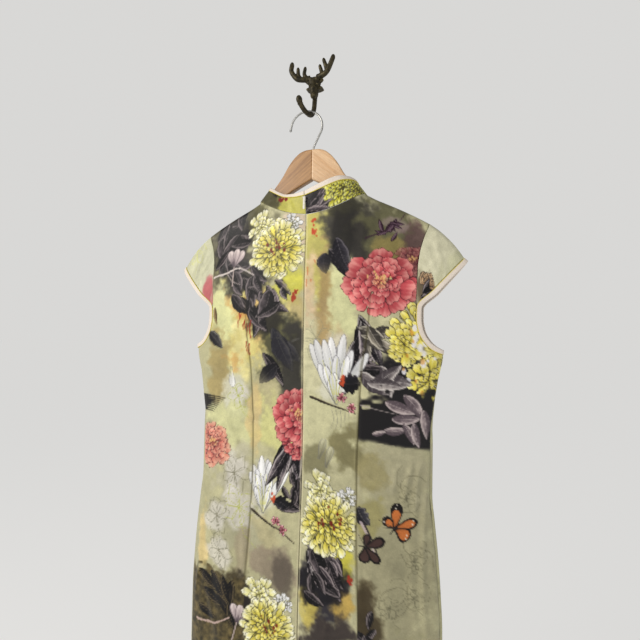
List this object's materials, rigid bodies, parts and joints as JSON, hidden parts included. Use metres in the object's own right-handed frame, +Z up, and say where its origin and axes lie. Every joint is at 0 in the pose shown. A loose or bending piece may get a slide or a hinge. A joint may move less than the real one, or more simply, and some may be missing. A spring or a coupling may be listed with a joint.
{
  "type": "cheongsam on a hanger and wall hook",
  "caption": "Knee-length sheath dress with a stand collar and cap sleeves, hung with its back out on a wooden hanger from a cast wall hook.",
  "frame": {"origin": "centre of the wall hook's back face, on the wall", "axes": "+Z up, +Y into the wall, +X to the right as seen from the room; the dress's back faces -Y"},
  "size_m": [0.5018, 0.0717, 1.2365],
  "materials": {
    "satin": "printed satin with a faint woven pattern, floral print on olive and cream",
    "binding": "cream satin binding with a thin yellow edge",
    "zip_tape": "woven zip tape, cream",
    "zip_metal": "cream enamel",
    "wood": "clear satin lacquer on pale beech",
    "wire": "plated steel wire",
    "iron": "dark bronze patina"
  },
  "bodies": {
    "dress_and_hanger": {"back_left": "satin", "back_right": "satin", "front": "satin", "collar_left": "satin", "collar_right": "satin", "sleeve_left": "satin", "sleeve_right": "satin", "collar_binding_left": "binding", "collar_binding_right": "binding", "armhole_binding_left": "binding", "armhole_binding_right": "binding", "zip_tape": "zip_tape", "zip_slider": "zip_metal", "hanger_wood": "wood", "hanger_hook": "wire", "wall_hook": "iron"},
    "zip_pull": {"zip_pull": "zip_metal"}
  },
  "joints": [
    {"name": "pull_swing", "type": "hinge", "parent": "dress_and_hanger", "child": "zip_pull", "pos_m": [0.0065, -0.0683, -0.208], "axis": [-1, 0, 0], "range_deg": [0, 160]}
  ]
}
